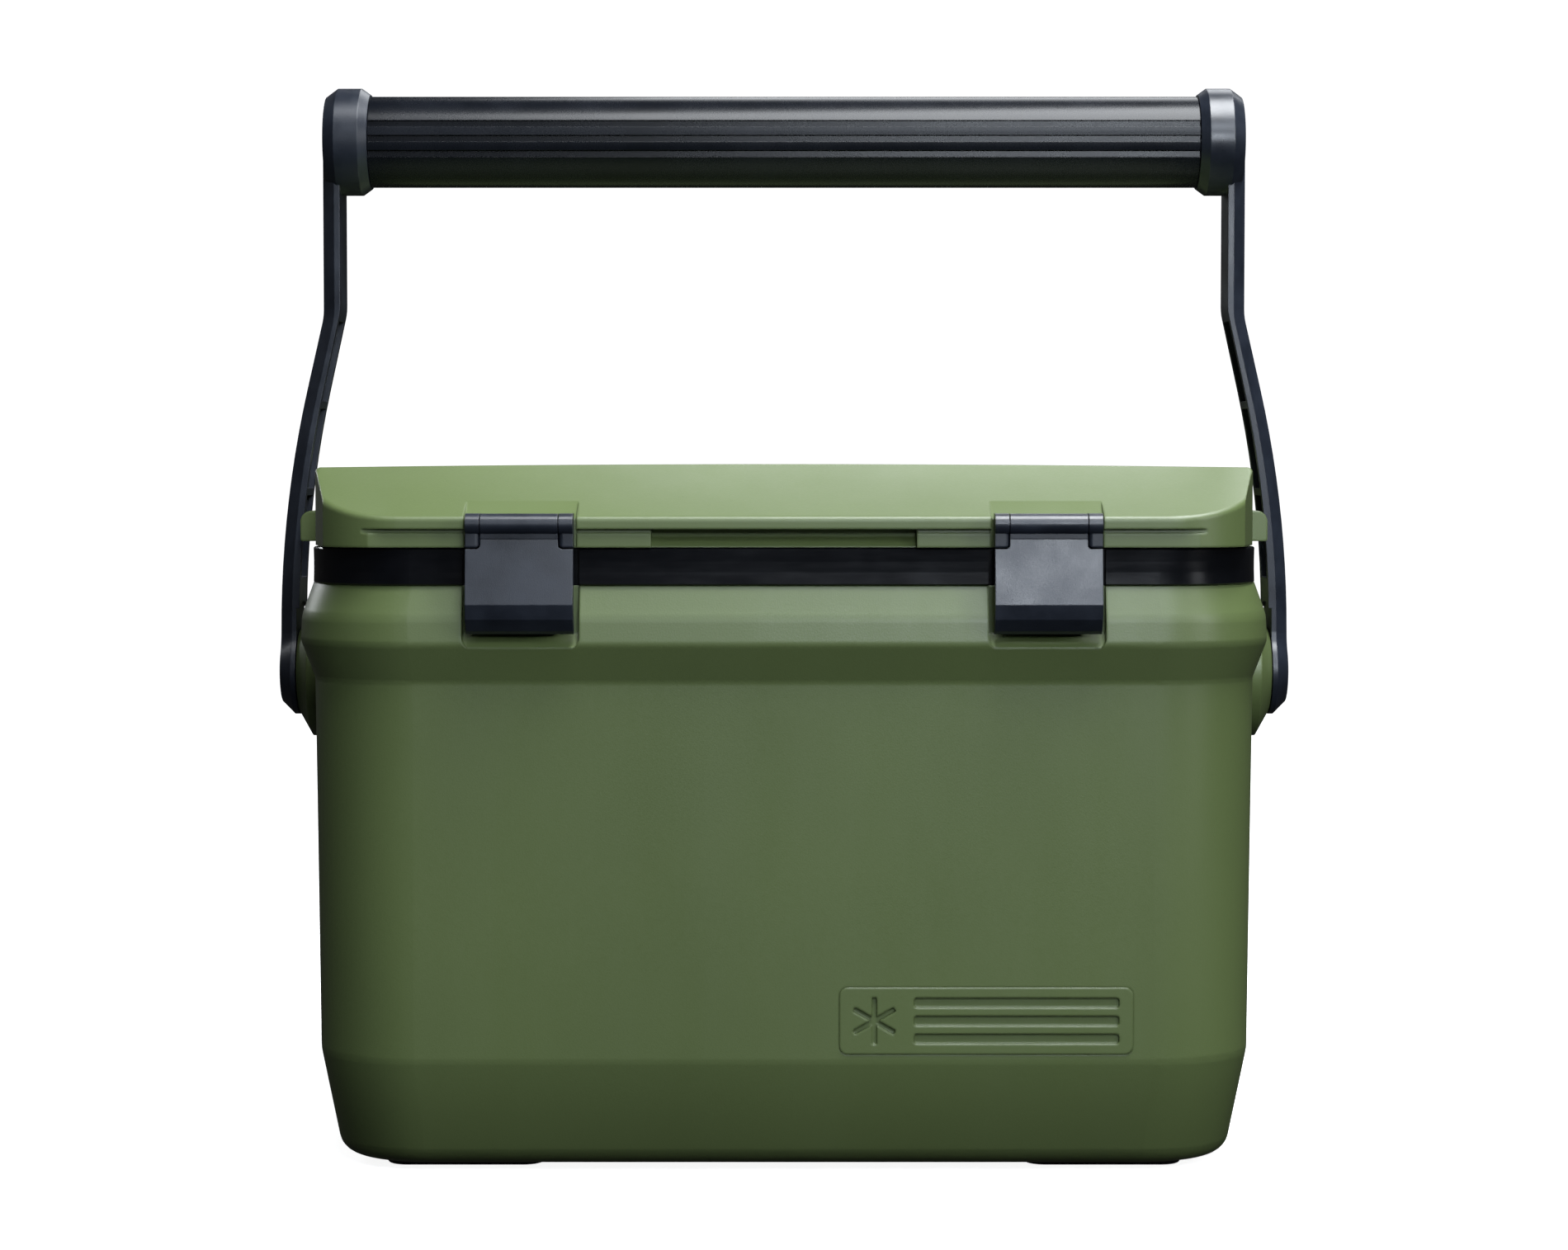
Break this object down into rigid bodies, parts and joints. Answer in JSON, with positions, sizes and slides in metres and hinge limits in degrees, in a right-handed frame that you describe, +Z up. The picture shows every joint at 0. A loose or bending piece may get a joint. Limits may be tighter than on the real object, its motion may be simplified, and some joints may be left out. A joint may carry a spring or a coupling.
{
  "type": "insulated carry cooler",
  "caption": "Hard-sided insulated carry cooler with a hinged lid, front latches and an upright bail handle with a ribbed grip.",
  "frame": {"origin": "on the floor, under the middle of the cooler", "axes": "+Z up, -Y towards the latched front, +X to the right of someone facing the front"},
  "size_m": [0.4168, 0.301, 0.426],
  "materials": {
    "shell_green": "satin",
    "gloss_black": "polished",
    "black_plastic": "satin",
    "liner_grey": "satin",
    "aluminium": "satin",
    "foam": "matte",
    "rubber_black": "matte",
    "steel": "satin"
  },
  "bodies": {
    "cooler_body": {"outer_shell": "shell_green", "body_foam": "foam", "inner_liner": "liner_grey", "rim_collar": "gloss_black", "badge_plate": "shell_green", "foot_front_left": "rubber_black", "foot_front_right": "rubber_black", "foot_rear_left": "rubber_black", "foot_rear_right": "rubber_black", "pivot_boss_left": "shell_green", "pivot_boss_right": "shell_green", "pivot_socket_left": "steel", "pivot_socket_right": "steel", "latch_catch_left": "black_plastic", "latch_catch_right": "black_plastic", "latch_catch_screws": "steel", "hinge_leaf_body_left": "black_plastic", "hinge_leaf_body_right": "black_plastic", "hinge_pin_left": "steel", "hinge_pin_right": "steel", "hinge_screws_body": "steel"},
    "lid": {"lid_shell": "shell_green", "lid_foam": "foam", "lid_liner": "liner_grey", "lid_gasket": "rubber_black", "latch_bracket_left": "black_plastic", "latch_bracket_right": "black_plastic", "latch_bracket_screws": "steel", "latch_pin_left": "black_plastic", "latch_pin_right": "black_plastic", "hinge_leaf_lid_left": "black_plastic", "hinge_leaf_lid_right": "black_plastic", "hinge_screws_lid": "steel"},
    "latch_left": {"latch_left": "black_plastic"},
    "latch_right": {"latch_right": "black_plastic"},
    "handle_pivots": {"pivot_bush_left": "steel", "pivot_bush_right": "steel", "pivot_screws": "steel"},
    "handle": {"handle_arm_left": "black_plastic", "handle_arm_right": "black_plastic", "grip_end_plug_left": "black_plastic", "grip_end_plug_right": "black_plastic", "grip_sleeve": "gloss_black", "grip_core_tube": "aluminium", "grip_tube_inserts": "black_plastic", "handle_screws": "steel"}
  },
  "joints": [
    {"name": "lid_hinge", "type": "hinge", "parent": "cooler_body", "child": "lid", "pos_m": [0, 0.1463, 0.243], "axis": [-1, 0, 0], "range_deg": [0, 90]},
    {"name": "latch_left_hinge", "type": "hinge", "parent": "lid", "child": "latch_left", "pos_m": [-0.0991, -0.1455, 0.2485], "axis": [-1, 0, 0], "range_deg": [0, 110]},
    {"name": "latch_right_hinge", "type": "hinge", "parent": "lid", "child": "latch_right", "pos_m": [0.0991, -0.1455, 0.2485], "axis": [-1, 0, 0], "range_deg": [0, 110]},
    {"name": "pivot_turn", "type": "hinge", "parent": "cooler_body", "child": "handle_pivots", "pos_m": [0, 0, 0.185], "axis": [-1, 0, 0], "range_deg": [0, 70]},
    {"name": "handle_swing", "type": "hinge", "parent": "handle_pivots", "child": "handle", "pos_m": [0, 0, 0.185], "axis": [-1, 0, 0], "range_deg": [-105, 63]}
  ],
  "couplings": [
    {"joint": "pivot_turn", "follows": "lid_hinge", "ratio": 0.76}
  ]
}
